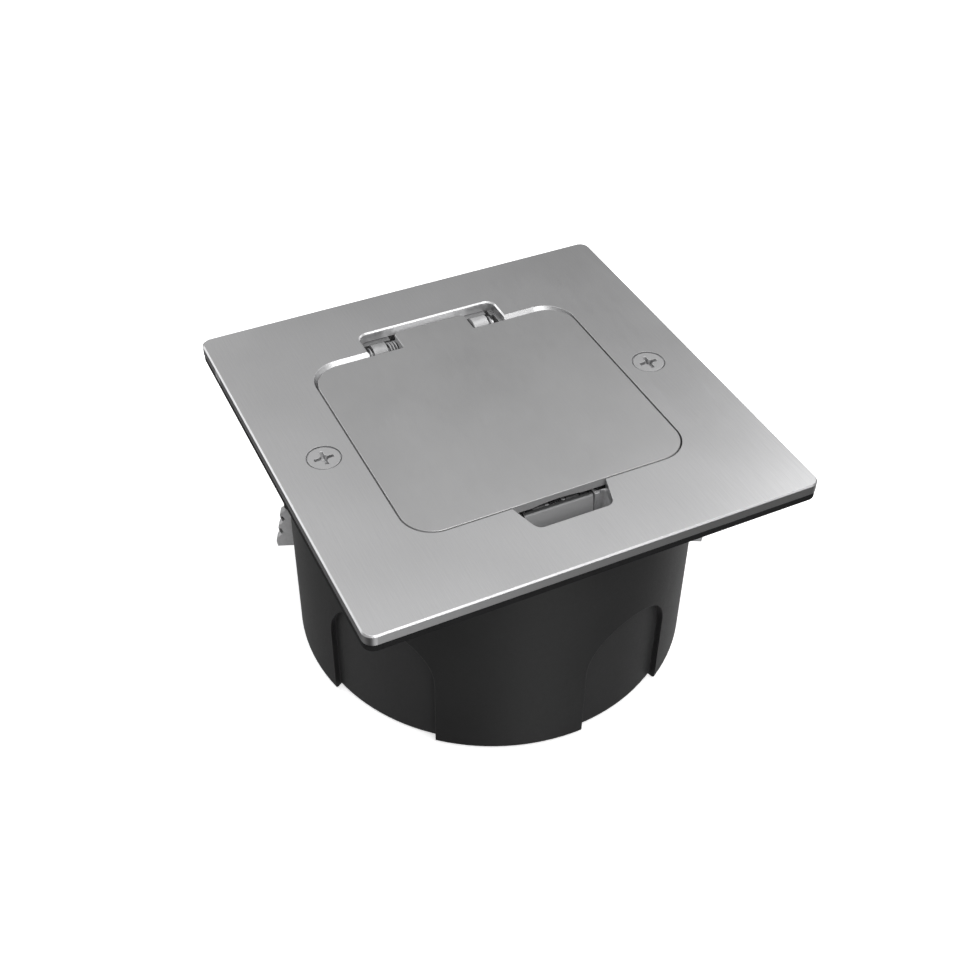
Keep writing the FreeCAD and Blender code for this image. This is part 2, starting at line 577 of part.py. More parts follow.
# shallow finger grip under the front edge
grip_z = plate_z + d("grip_rise") - d("grip_radius")
grip = cyly("grip_round", d("grip_radius"), 0, -lf - 1, -lf + d("grip_depth"), grip_z)
leaf_holes = [cyl("lid_screw_hole_%d" % i, 1.2, x, 36.4, plate_z - 0.5, plate_z + 2) for i, x in enumerate((-4.6, 7.6))]
rivet_holes = [cyl("lid_rivet_hole_%d" % i, 1.0, x, -32.2, plate_z - 0.5, plate_z + 1.8) for i, x in enumerate((-8.0, 8.0))]
# hollow under the tab that clears the spring coil, round the hinge axis
# nose behind the tab: it slopes down from the top face and fills the notch without touching its wall as the lid turns
nb = body("tab_nose")
s = poly(sketch(nb, "nose_side", "YZ_Plane", -d("nose_half")), [
    (d("tab_back") - 1.7, plate_z), (d("nose_back"), plate_z), (d("nose_back"), top_z - (d("nose_back") - d("tab_back"))),
    (d("tab_back"), top_z), (d("tab_back") - 1.7, top_z)])
p = pad(nb, s, d("nose_half") * 2, "nose_pad")
lid_blank = merge("lid_blank", b, nb)
coil_room = cylx("lid_coil_room", 2.95, -13, -(d("leaf_left") - 0.1), d("axis_back"), d("axis_height"))
node("lid_panel", cut("lid_panel_cut", lid_blank, grip, coil_room, *leaf_holes, *rivet_holes))

# hinge leaf: flat under the lid, knuckle round the pin, hole for the spring's end
hook_deg = -90.0 + math.degrees(0.62 / VALUE["spring_mean"])
HOOK_Y = d("axis_back") + VALUE["spring_mean"] * math.sin(math.radians(hook_deg))
HOOK_Z = d("axis_height") - VALUE["spring_mean"] * math.cos(math.radians(hook_deg))
leaf_z = plate_z - 2
leaf_blank = merge("leaf_blank", box("leaf_flat", -d("leaf_left"), d("tab_half"), 34.3, d("axis_back"), leaf_z, plate_z),
                   box("leaf_step", -d("leaf_left"), d("leaf_right"), 38.6, d("axis_back"), leaf_z, plate_z),
                   cylx("leaf_knuckle", d("knuckle_radius") - 0.1, -d("leaf_left"), d("leaf_right"), d("axis_back"), d("axis_height")))
leaf_tools = [cylx("leaf_bore", d("pin_radius") + d("pin_fit"), -30, 30, d("axis_back"), d("axis_height")),
              box("leaf_over", -30, 30, 30, 50, plate_z, plate_z + 5),
              cylx("leaf_hook_hole", 0.5, -d("leaf_left") - 1, -6.2, HOOK_Y, HOOK_Z)]
for i, x in enumerate((-4.6, 7.6)):
    leaf_tools.append(cyl("leaf_screw_hole_%d" % i, 1.3, x, 36.4, leaf_z - 1, plate_z + 1))
    leaf_tools.append(cone("leaf_screw_sink_%d" % i, 2.4, 1.3, x, 36.4, leaf_z, leaf_z + 1.1))
node("hinge_leaf", cut("hinge_leaf_cut", leaf_blank, *leaf_tools))
leaf_screws = []
for i, x in enumerate((-4.6, 7.6)):
    blank = merge("leaf_screw_blank_%d" % i, cone("leaf_screw_cone_%d" % i, 2.2, 1.18, x, 36.4, leaf_z + 0.05, leaf_z + 1.07),
                  cyl("leaf_screw_shank_%d" % i, 1.18, x, 36.4, leaf_z + 1, plate_z + 1.9))
    leaf_screws.append(cut("leaf_screw_%d" % i, blank, prism("leaf_screw_drive_%d" % i, 6, 1.6, x, 36.4, leaf_z - 1, leaf_z + 0.9)))
node("leaf_screws", fuse("leaf_screw_set", *leaf_screws), 2)

# torsion spring: coil round the pin, one leg on the pocket floor, one under the tab
coil_x0 = -VALUE["spring_start"] + VALUE["spring_wire"] / 2
pitch = (VALUE["spring_length"] - VALUE["spring_wire"]) / VALUE["spring_turns"]
r_mean, r_wire = VALUE["spring_mean"], VALUE["spring_wire"] / 2
ax_y, ax_z = VALUE["axis_back"], VALUE["axis_height"]


def coil_point(deg, x):
    return V(x, ax_y + r_mean * math.sin(math.radians(deg)), ax_z - r_mean * math.cos(math.radians(deg)))


def unit(v):
    return v * (1.0 / v.Length)


# straight leg that ends on the pocket floor, then the turns, then the end bent along the pin into the leaf
lead, last, bend = 28.0, 360.0 * VALUE["spring_turns"] - 90.0, 0.62
helix = Part.makeHelix(pitch, pitch * (last - lead) / 360.0, r_mean)
helix.rotate(V(0, 0, 0), V(0, 1, 0), 90)
helix.rotate(V(0, 0, 0), V(1, 0, 0), lead)
helix.translate(V(coil_x0, ax_y, ax_z))


def coil_way(deg):
    return unit(V(pitch / (2 * math.pi), r_mean * math.cos(math.radians(deg)), r_mean * math.sin(math.radians(deg))))


first, way = coil_point(lead, coil_x0), coil_way(lead)
leg_end = first - way * 6.2
leg = Part.makeLine(leg_end, first)
turn_end, way_end = coil_point(last, coil_x0 + pitch * (last - lead) / 360.0), coil_way(last)
side = unit(V(1, 0, 0) - way_end * way_end.x)
sweep = math.acos(way_end.x)


def bend_point(a):
    return turn_end + way_end * (bend * math.sin(a)) + side * (bend * (1 - math.cos(a)))


hook_bend = Part.Arc(turn_end, bend_point(sweep / 2), bend_point(sweep)).toShape()
hook = Part.makeLine(bend_point(sweep), bend_point(sweep) + V(1.35, 0, 0))
wire_path = Part.Wire([leg] + helix.Edges + [hook_bend, hook])
profile = Part.Wire([Part.makeCircle(r_wire, leg_end, way)])
spring = doc.addObject("Part::Feature", "lid_spring_shape")
spring.Shape = wire_path.makePipeShell([profile], True, False)
node("lid_spring", spring)

# ---------------------------------------------------------------- outlet flap
fy, fz = -d("flap_pin_back"), d("flap_pin_height")
b = body("flap_body")
# section across the flap: a shell that bulges forwards and curls under
fr, ft = q(8.6), d("flap_thick")
s = sketch(b, "flap_section", "YZ_Plane", -d("flap_half"))
poly(s, [(-37.95, 70.2), (-38.2, 69.85), (-38.8, d("flap_low")), (-37.75, d("flap_low") - 0.2), (-38.2 + ft, 69.2), (-36.9, 70.2)],
     arcs={1: (30.0, 1), 3: (28.9, -1)})
p = pad(b, s, d("flap_half") * 2, "flap_pad")
flap_arm = [box("flap_arm_%d" % i, x0, x1, -37.4, fy, fz - 0.9, fz + 0.9) for i, (x0, x1) in enumerate(((-6.6, -3.0), (3.0, 6.6)))]
flap_eye = [cylx("flap_eye_%d" % i, d("flap_knuckle"), x0, x1, fy, fz) for i, (x0, x1) in enumerate(((-6.6, -3.0), (3.0, 6.6)))]
flap_blank = merge("flap_blank", b, *flap_arm, *flap_eye)
node("outlet_flap", cut("outlet_flap_cut", flap_blank, cylx("flap_bore", d("flap_pin_radius") + 0.04, -20, 20, fy, fz)))

# bracket under the lid with three lugs for the flap's pin
br_z = plate_z - 1.0
lugs = []
for i, (x0, x1) in enumerate(((-8.6, -6.8), (6.8, 8.6))):
    lugs.append(cylx("lug_round_%d" % i, 1.3, x0, x1, fy, fz))
    lugs.append(box("lug_web_%d" % i, x0, x1, fy - 1.3, fy + 1.3, fz, br_z + 0.5))
plate_piece = box("bracket_flat", -10.0, 10.0, fy + 0.6, -30.2, br_z, plate_z)
lug_joint = [box("lug_joint_%d" % i, x0, x1, fy - 1.2, fy + 1.0, br_z - 0.2, plate_z) for i, (x0, x1) in enumerate(((-8.6, -6.8), (6.8, 8.6)))]
bracket = merge("bracket_blank", plate_piece, *lug_joint, *lugs)
br_tools = [cylx("bracket_bore", d("flap_pin_radius") + 0.01, -20, 20, fy, fz)]
for i, x in enumerate((-8.0, 8.0)):
    br_tools.append(cyl("bracket_rivet_hole_%d" % i, 1.02, x, -32.2, br_z - 1, plate_z + 1))
node("flap_bracket", cut("flap_bracket_cut", bracket, *br_tools))
rivets = []
for i, x in enumerate((-8.0, 8.0)):
    rivets.append(merge("bracket_rivet_%d" % i, cyl("bracket_rivet_shank_%d" % i, 0.98, x, -32.2, br_z - 0.1, plate_z + 1.7),
                        cone("bracket_rivet_head_%d" % i, 1.3, 1.8, x, -32.2, br_z - 0.7, br_z)))
node("bracket_rivets", fuse("bracket_rivet_set", *rivets), 2)
node("flap_pin", cylx("flap_pin_rod", d("flap_pin_radius"), -8.9, 8.9, fy, fz))
# small torsion spring between the flap's eyes
fs_wire, fs_mean, fs_turns, fs_pitch = 0.22, 1.15, 6, 0.62
fhelix = Part.makeHelix(fs_pitch, fs_pitch * fs_turns, fs_mean)
fprofile = Part.Wire([Part.makeCircle(fs_wire, V(fs_mean, 0, 0), V(0, 1, 0))])
fcoil = Part.Wire(fhelix.Edges).makePipeShell([fprofile], True, True)
fcoil.rotate(V(0, 0, 0), V(0, 1, 0), 90)
fs_x0 = -fs_pitch * fs_turns / 2
fcoil.translate(V(fs_x0, fy.v, fz.v))
leg_a = Part.makeCylinder(fs_wire * 0.999, 1.2, V(fs_x0, fy.v + 0.1, fz.v - fs_mean), V(0, -1, -0.05))
leg_b = Part.makeCylinder(fs_wire * 0.999, 3.4, V(-fs_x0, fy.v - 0.1, fz.v - fs_mean), V(0, 1, 0.0))
fspring = doc.addObject("Part::Feature", "flap_spring_shape")
fspring.Shape = fcoil.fuse([leg_a, leg_b])
node("flap_spring", fspring)

# ---------------------------------------------------------------- pot
def arch(name, half, x0, x1, angle):
    o = merge(name, box(name + "_low", x0, x1, -half, half, -1, d("panel_spring")), cylx(name + "_round", half, x0, x1, 0, d("panel_spring")))
    return turn(o, angle)


def foot_edge(e):
    return level_at(0.0)(e)


blank = fillet_part("pot_blank", cyl("pot_outer", d("pot_radius"), 0, 0, 0, plate_z), VALUE["pot_foot_round"], foot_edge)
core = fillet_part("pot_core", cyl("pot_panel_face", d("pot_radius") - d("panel_depth"), 0, 0, 0, plate_z), VALUE["pot_foot_round"], foot_edge)
panels = [("wide_a", d("panel_wide_half"), d("wide_angle")), ("narrow_a", d("panel_narrow_half"), d("narrow_angle")),
          ("wide_b", d("panel_wide_half"), d("wide_angle") + 180), ("narrow_b", d("panel_narrow_half"), d("narrow_angle") + 180)]
arches = fuse("panel_arches", *[arch("panel_" + k, h, 45, 62, a) for k, h, a in panels])
outer = cut("pot_outside", blank, cut("panel_recesses", arches, core))
inner_arches = fuse("panel_backs", *[arch("panel_back_" + k, h + d("panel_grow"), 45, 56, a) for k, h, a in panels])
bumps = cut("panel_bumps", inner_arches, cyl("panel_back_face", d("pot_inner") - d("panel_depth"), 0, 0, -2, 60))
cavity = cut("pot_inside", cyl("pot_hollow", d("pot_inner"), 0, 0, d("pot_floor"), plate_z + 1), bumps)
shell = cut("pot_shell", outer, cavity)
adds, subs = [], []
for k, sx in (("left", -1), ("right", 1)):
    adds.append(cyl("boss_" + k, d("boss_radius"), d("screw_at") * sx, 0, d("pot_floor") - 0.5, carrier_z))
    xs = sorted([d("screw_at").v * sx, 55.6 * sx])
    adds.append(box("boss_web_" + k, xs[0], xs[1], -3.5, 3.5, d("pot_floor") - 0.5, carrier_z))
    subs.append(cyl("boss_seat_" + k, d("insert_radius"), d("screw_at") * sx, 0, carrier_z - d("insert_long"), carrier_z + 1))
    subs.append(cyl("boss_relief_" + k, 2.3, d("screw_at") * sx, 0, 46, carrier_z))
    adds.append(cyl("pillar_" + k, d("pillar_radius"), d("pillar_at") * sx, 0, d("pot_floor") - 0.5, d("pillar_top")))
    subs.append(cyl("pillar_bore_" + k, 1.5, d("pillar_at") * sx, 0, 20, d("pillar_top") + 1))
for k, turn_by in (("left", d("claw_left_angle")), ("right", d("claw_right_angle"))):
    cb = body("cheek_body_" + k)
    s = poly(sketch(cb, "cheek_side_" + k, "XZ_Plane"), [(56.0, 38.4), (58.0, 38.4), (d("cheek_reach"), 39.6), (d("cheek_reach"), 59.5), (57.6, 62.5), (56.0, 62.5)])
    ch = pad(cb, s, (d("slot_half") + d("cheek_thick")) * 2, "cheek_pad_" + k, both=True)
    s = poly(sketch(cb, "cheek_gap_" + k, "XZ_Plane"), [(55.0, 30.0), (61.5, 30.0), (61.5, 70.0), (55.0, 70.0)])
    ch = pocket(cb, s, d("slot_half") * 2, "cheek_way_" + k, both=True)
    hi = box("lug_high_" + k, d("lug_in"), 55.6, -d("lug_half"), d("lug_half"), d("lug_high") - d("lug_thick"), d("lug_high"))
    lo = box("lug_low_" + k, d("lug_in"), 55.6, -d("lug_half"), d("lug_half"), d("lug_low"), d("lug_low") + d("lug_low_thick"))
    adds.append(turn(fuse("claw_guides_" + k, cb, hi, lo), turn_by))
    slot = box("claw_slot_" + k, 50, 58.5, -d("slot_half"), d("slot_half"), d("slot_low"), d("slot_high"))
    bore = cyl("claw_bore_" + k, d("claw_screw_radius") + 0.12, d("claw_screw_at"), 0, 5, 66)
    subs.append(turn(fuse("claw_ways_" + k, slot, bore), turn_by))
node("mounting_box", cut("mounting_box_cut", merge("pot_with_bosses", shell, *adds), *subs))

# ---------------------------------------------------------------- claws
for k, turn_by in (("left", d("claw_left_angle")), ("right", d("claw_right_angle"))):
    b = body("claw_body_" + k)
    # side view of the claw: three teeth that lean outwards as they go down
    s = poly(sketch(b, "claw_side_" + k, "XZ_Plane"), [
        (57.3, 22.9), (62.3, 22.5), (62.5, 23.6), (62.6, 24.7), (62.2, 25.9), (60.8, 27.1),
        (61.45, 28.6), (61.6, 29.9), (61.3, 30.9), (60.0, 32.1), (60.6, 33.5), (60.8, 34.8), (60.45, 35.8), (59.2, 36.5), (57.3, 36.5)])
    p = pad(b, s, d("claw_half") * 2, "claw_pad_" + k, both=True)

    # arm through the wall, and the threaded block inside the pot
    arm = box("claw_arm_" + k, 53.4, 57.4, -d("claw_half"), d("claw_half"), 22.9, 36.5)
    nut_block = box("claw_block_" + k, 47.0, 53.6, -4.2, 4.2, 22.9, 36.5)
    body_all = merge("claw_blank_" + k, b, arm, nut_block)
    # small through holes in the two upper teeth
    dimples = []
    for i, (dx, dz) in enumerate(((60.15, 34.1), (60.0, 33.6), (59.85, 33.1), (61.0, 29.2), (60.85, 28.7), (60.7, 28.2))):
        dimples.append(cyly("claw_hole_%s_%d" % (k, i), 0.42, dx, -2.0, 2.0, dz))
    c = cut("claw_cut_" + k, body_all, cyl("claw_thread_" + k, d("claw_screw_radius") + d("claw_fit"), d("claw_screw_at"), 0, 20, 40), *dimples)
    node("claw_" + k, turn(c, turn_by))
    # long screw with a cross recess; its head rests on the upper lug
    at, hz = d("claw_screw_at"), d("lug_high")
    rod = cyl("claw_rod_" + k, d("claw_screw_radius"), at, 0, 10, hz)
    head = cyl("claw_head_" + k, 3.4, at, 0, hz + 0.05, hz + 2.3)
    neck = cyl("claw_neck_" + k, d("claw_screw_radius"), at, 0, hz - 1, hz + 1)
    a1 = box("claw_drive_x_" + k, at - 1.9, at + 1.9, -0.45, 0.45, hz + 0.9, hz + 4)
    a2 = box("claw_drive_y_" + k, at - 0.45, at + 0.45, -1.9, 1.9, hz + 0.9, hz + 4)
    gr = cut("claw_groove_" + k, cyl("claw_groove_out_" + k, 3, at, 0, 11.0, 11.7), cyl("claw_groove_in_" + k, 1.5, at, 0, 10.5, 12.5))
    node("claw_screw_" + k, turn(cut("claw_screw_cut_" + k, merge("claw_screw_blank_" + k, rod, neck, head), a1, a2, gr), turn_by))
    cr = cut("claw_clip_cut_" + k, cyl("claw_clip_out_" + k, 3.3, at, 0, 11.1, 11.6), cyl("claw_clip_in_" + k, 1.52, at, 0, 10, 13),
             box("claw_clip_mouth_" + k, at, at + 5, -0.8, 0.8, 10, 13))
    node("claw_clip_" + k, turn(cr, turn_by))

# ---------------------------------------------------------------- socket insert
ring_z = d("pillar_top")
cover_z = ring_z + d("ring_thick")
face_z = cover_z + d("cover_thick")
cup_z = face_z - d("cup_deep")
under_cup = cup_z - d("cup_floor")
b = body("ring_body")
s = poly(sketch(b, "ring_outline", "XY_Plane", ring_z), rect(d("ring_half"), -d("ring_half"), d("ring_half")))
ring_of(s, 0, 0, d("ring_bore"), "ring_bore")
p = pad(b, s, d("ring_thick"), "ring_pad")
p = fillet(b, p, d("ring_round"), upright_at([(d("ring_half").v * a, d("ring_half").v * c) for a in (-1, 1) for c in (-1, 1)]), "ring_corners")
ring_tools = []
for k, sx in (("left", -1), ("right", 1)):
    ring_tools.append(cyl("ring_hole_" + k, 1.9, d("pillar_at") * sx, 0, ring_z - 1, cover_z + 1))
    ring_tools.append(box("ring_slot_" + k, d("pillar_at") * sx - 1.9, d("pillar_at") * sx + 1.9, -2.2, 2.2, ring_z - 1, cover_z + 1))
for i, (sx, sy) in enumerate(((1, 1), (1, -1), (-1, 1), (-1, -1))):
    ring_tools.append(cyl("ring_rivet_hole_%d" % i, d("rivet_radius") + 0.02, d("rivet_at") * sx, d("rivet_at") * sy, ring_z - 1, cover_z + 1))
    ring_tools.append(cyl("ring_corner_hole_%d" % i, 2.1, 28.5 * sx, 28.5 * sy, ring_z - 1, cover_z + 1))
node("support_ring", cut("support_ring_cut", b, *ring_tools))

base = cut("base_blank", box("base_block", -d("base_half"), d("base_half"), -d("base_half"), d("base_half"), d("base_bottom"), ring_z),
           cyl("base_bore", d("base_bore"), 0, 0, under_cup, ring_z + 1))
base = fillet_part("base_rounded", base, VALUE["base_round"], upright_at([(d("base_half").v * a, d("base_half").v * c) for a in (-1, 1) for c in (-1, 1)]))
base_tools = [cyl("base_screw_bore", 1.5, 0, 0, 12, under_cup + 1)]
for k, sx in (("left", -1), ("right", 1)):
    base_tools.append(cyl("base_pole_" + k, d("pole_outer") + 0.02, d("pole_at") * sx, 0, d("pole_bottom") - 0.3, under_cup + 1))
    # terminal chamber, open at the side of the block
    xs = sorted([(d("pole_at").v + 2.0) * sx, 26.0 * sx])
    base_tools.append(box("base_chamber_" + k, xs[0], xs[1], -3.6, 3.6, 8.0, 16.0))
    base_tools.append(cyl("base_terminal_way_" + k, 1.62, 20.5 * sx, 0, 15, 30))
base_tools.append(box("base_earth_way", -3.3, 3.3, -26, 26, under_cup - 1.2, under_cup + 1))
base_tools.append(box("base_earth_chamber", -3.6, 3.6, 17.0, 26, 12.0, under_cup - 1))
for i, (sx, sy) in enumerate(((1, 1), (1, -1), (-1, 1), (-1, -1))):
    base_tools.append(cyl("base_rivet_hole_%d" % i, d("rivet_radius") + 0.02, d("rivet_at") * sx, d("rivet_at") * sy, 26, ring_z + 1))
node("socket_base", cut("socket_base_cut", base, *base_tools))

rr = []
for i, (sx, sy) in enumerate(((1, 1), (1, -1), (-1, 1), (-1, -1))):
    x, y = d("rivet_at") * sx, d("rivet_at") * sy
    rr.append(merge("ring_rivet_%d" % i, cyl("ring_rivet_shank_%d" % i, d("rivet_radius"), x, y, 26.3, cover_z + 0.2),
                    cone("ring_rivet_head_%d" % i, 2.6, 1.9, x, y, cover_z + 0.02, cover_z + 1.1)))
node("ring_rivets", fuse("ring_rivet_set", *rr), 4)
rs = []
for k, sx in (("left", -1), ("right", 1)):
    x = d("pillar_at") * sx
    blank = merge("ring_screw_blank_" + k, cyl("ring_screw_shank_" + k, 1.46, x, 0, 24, cover_z + 0.5), cyl("ring_screw_head_" + k, 3.2, x, 0, cover_z + 0.02, cover_z + 2.0))
    rs.append(cut("ring_screw_" + k, blank, box("ring_screw_slot_" + k, x - 4, x + 4, -0.4, 0.4, cover_z + 1.0, cover_z + 3)))
node("ring_screws", fuse("ring_screw_set", *rs), 2)

# cover: hollow square plate with the round plug recess
b = body("cover_body")
s = poly(sketch(b, "cover_outline", "XY_Plane", cover_z), rect(d("cover_half"), -d("cover_half"), d("cover_half")))
p = pad(b, s, d("cover_thick"), "cover_pad")
p = fillet(b, p, d("cover_round"), upright_at([(d("cover_half").v * a, d("cover_half").v * c) for a in (-1, 1) for c in (-1, 1)]), "cover_corners")
p = chamfer(b, p, 0.8, level_at(face_z), "cover_edge")
ci = d("cover_half") - 1.7
s = poly(sketch(b, "cover_hollow", "XY_Plane", cover_z), rect(ci, -ci, ci))
p = pocket(b, s, d("cover_thick") - d("cover_skin"), "cover_hollow_cut", back=True)
cover = merge("cover_blank", b, cyl("cup_body", d("cup_outer"), 0, 0, under_cup, face_z - 0.5))
cover_tools = [cyl("cup_space", d("cup_radius"), 0, 0, cup_z, face_z + 1),
               cyl("cover_screw_way", 1.7, 0, 0, under_cup - 1, cup_z + 1),
               box("earth_slot", -3.1, 3.1, -24, 24, under_cup - 1, cup_z + 12.0)]
earth_keep = cyl("earth_keep", 17.6, 0, 0, under_cup - 2, cup_z + 13)
earth_tool = cut("earth_slots", cover_tools.pop(), earth_keep)
cover_tools.append(earth_tool)
for k, sx in (("left", -1), ("right", 1)):
    cover_tools.append(cyl("pole_way_" + k, d("pole_hole"), d("pole_at") * sx, 0, under_cup - 1, cup_z + 1))
node("socket_cover", cut("socket_cover_cut", cover, *cover_tools))
cs = merge("cover_screw_blank", cyl("cover_screw_shank", 1.46, 0, 0, 14, cup_z + 0.5), cyl("cover_screw_head", 2.9, 0, 0, cup_z + 0.02, cup_z + 1.6))
node("cover_screw", cut("cover_screw_cut", cs, box("cover_screw_slot", -4, 4, -0.4, 0.4, cup_z + 0.8, cup_z + 3)))

# two pole contacts: split sleeves with a terminal tongue
for k, sx in (("live", -1), ("neutral", 1)):
    x = d("pole_at") * sx
    sleeve = cyl("pole_sleeve_" + k, d("pole_outer"), x, 0, d("pole_bottom"), d("pole_bottom") + d("pole_long"))
    xs = sorted([(d("pole_at").v + 2.2) * sx, 24.0 * sx])
    tongue = box("pole_tongue_" + k, xs[0], xs[1], -3.2, 3.2, 8.6, 9.8)
    xr = sorted([18.0 * sx, 23.4 * sx])
    block = box("pole_block_" + k, xr[0], xr[1], -3.2, 3.2, 9.6, 15.6)
    tools = [cyl("pole_bore_" + k, d("pole_bore"), x, 0, d("pole_bottom") - 1, 40),
             box("pole_slit_" + k, x - 0.35, x + 0.35, 0, 5, 11.0, 40),
             cyl("pole_thread_" + k, 1.5, 20.5 * sx, 0, 10.5, 30)]
    xw = sorted([19.0 * sx, 26.0 * sx])
    tools.append(cylx("pole_wire_way_" + k, 1.2, xw[0], xw[1], 0, 12.2))
    node(k + "_contact", cut("pole_cut_" + k, merge("pole_blank_" + k, sleeve, tongue, block), *tools))

# earth contact: strip across the base with a clip up each side of the recess
strip = box("earth_strip", -3.0, 3.0, -20.9, 24.6, under_cup - 1.1, under_cup - 0.1)
parts_e = [strip]
for k, sy in (("front", -1), ("rear", 1)):
    ys = sorted([20.3 * sy, 21.1 * sy])
    parts_e.append(box("earth_rise_" + k, -2.6, 2.6, ys[0], ys[1], under_cup - 1.1, cup_z + 11.0))
    ys = sorted([17.9 * sy, 20.5 * sy])
    parts_e.append(box("earth_bow_" + k, -2.6, 2.6, ys[0], ys[1], cup_z + 8.4, cup_z + 9.2))
    ys = sorted([17.9 * sy, 18.7 * sy])
    parts_e.append(box("earth_drop_" + k, -2.6, 2.6, ys[0], ys[1], cup_z + 1.0, cup_z + 9.2))
parts_e.append(box("earth_block", -3.2, 3.2, 18.0, 24.6, 13.2, under_cup - 0.6))
e_tools = [cyl("earth_screw_way", 1.8, 0, 0, 10, 40), cyl("earth_thread", 1.2, 0, 22.7, 13, 40), cyly("earth_wire_way", 1.2, 0, 20.0, 26, 15.6)]
node("earth_contact", cut("earth_contact_cut", merge("earth_blank", *parts_e), *e_tools))
ts = []
for k, x, y, z0, z1 in (("live", -20.5, 0, 13.6, 21.5), ("neutral", 20.5, 0, 13.6, 21.5)):
    blank = cyl("terminal_rod_" + k, 1.46, x, y, z0, z1)
    ts.append(cut("terminal_" + k, blank, box("terminal_slot_" + k, x - 3, x + 3, y - 0.3, y + 0.3, z1 - 0.8, z1 + 1)))
blank = cyl("terminal_rod_earth", 1.16, 0, 22.7, 17.0, 22.0)
ts.append(cut("terminal_earth", blank, box("terminal_slot_earth", -3, 3, 22.4, 23.0, 21.3, 23)))
node("terminal_screws", fuse("terminal_set", *ts), 3)

# earthing terminal under the metal cover: saddle clamp and screw
clamp = cut("bond_clamp_blank", box("bond_plate", 18.9, 26.1, -46.3, -40.7, carrier_z - 1.4, carrier_z - 0.3),
            cyl("bond_plate_hole", 1.6, 22.5, -43.5, carrier_z - 3, carrier_z + 1))
node("bond_clamp", clamp)
bs = merge("bond_screw_blank", cyl("bond_rod", 1.42, 22.5, -43.5, carrier_z - 2, plate_z - 0.8), cyl("bond_head", 2.7, 22.5, -43.5, carrier_z - 3.4, carrier_z - 1.42))
node("bond_screw", cut("bond_screw_cut", bs, box("bond_slot", 18, 27, -43.9, -43.1, carrier_z - 4, carrier_z - 2.5)))

# ---------------------------------------------------------------- test, then write
doc.recompute()
bad = [o.Name for o in doc.Objects if "Invalid" in o.State or "Error" in o.State]
assert not bad, "failed objects: %s" % bad
for label, obj, solids in NODES:
    sh = obj.Shape
    ok = (not sh.isNull()) and sh.isValid() and len(sh.Solids) == solids
    if not ok:
        print("PROBLEM", label, "null", sh.isNull(), "valid", (not sh.isNull()) and sh.isValid(), "solids", len(sh.Solids), "expected", solids)
for label, obj, solids in NODES:
    sh = obj.Shape
    assert (not sh.isNull()) and sh.isValid() and len(sh.Solids) == solids, label
os.makedirs("parts", exist_ok=True)
for label, obj, solids in NODES:
    obj.Shape.exportStep("parts/%s.step" % label)
    bb = obj.Shape.BoundBox
    print("%-18s solids %d vol %9.1f  x %7.2f %7.2f  y %7.2f %7.2f  z %6.2f %6.2f" % (label, len(obj.Shape.Solids), obj.Shape.Volume, bb.XMin, bb.XMax, bb.YMin, bb.YMax, bb.ZMin, bb.ZMax))
print(len(NODES), "nodes written")
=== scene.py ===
"""Floor socket box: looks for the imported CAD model. Metres, in the model's own frame."""

import json
import math

import bmesh
import bpy
from mathutils import Matrix, Quaternion, Vector

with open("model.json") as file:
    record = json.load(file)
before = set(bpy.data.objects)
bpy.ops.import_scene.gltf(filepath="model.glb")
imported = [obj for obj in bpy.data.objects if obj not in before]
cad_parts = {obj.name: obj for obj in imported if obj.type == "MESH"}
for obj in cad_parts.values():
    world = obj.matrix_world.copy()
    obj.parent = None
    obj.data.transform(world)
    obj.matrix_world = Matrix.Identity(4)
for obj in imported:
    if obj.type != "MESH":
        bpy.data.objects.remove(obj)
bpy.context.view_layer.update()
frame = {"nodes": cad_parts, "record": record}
scene = bpy.context.scene
nodes = frame["nodes"]

# ------------------------------------------------------------------ camera
# f = 51.53 mm on a 36 mm sensor, square picture, level with the plate's fitted corners
cam_data = bpy.data.cameras.new("camera")
cam_data.sensor_width = 36.0
cam_data.lens = 51.528468
cam_data.clip_start, cam_data.clip_end = 0.01, 20.0
cam = bpy.data.objects.new("camera", cam_data)
scene.collection.objects.link(cam)
cam.location = (-0.13012567, -0.25775617, 0.30664060)
cam.rotation_mode = "QUATERNION"
cam.rotation_quaternion = Quaternion((0.8907562981, 0.3965214875, -0.0945841299, -0.2009425998))
scene.camera = cam


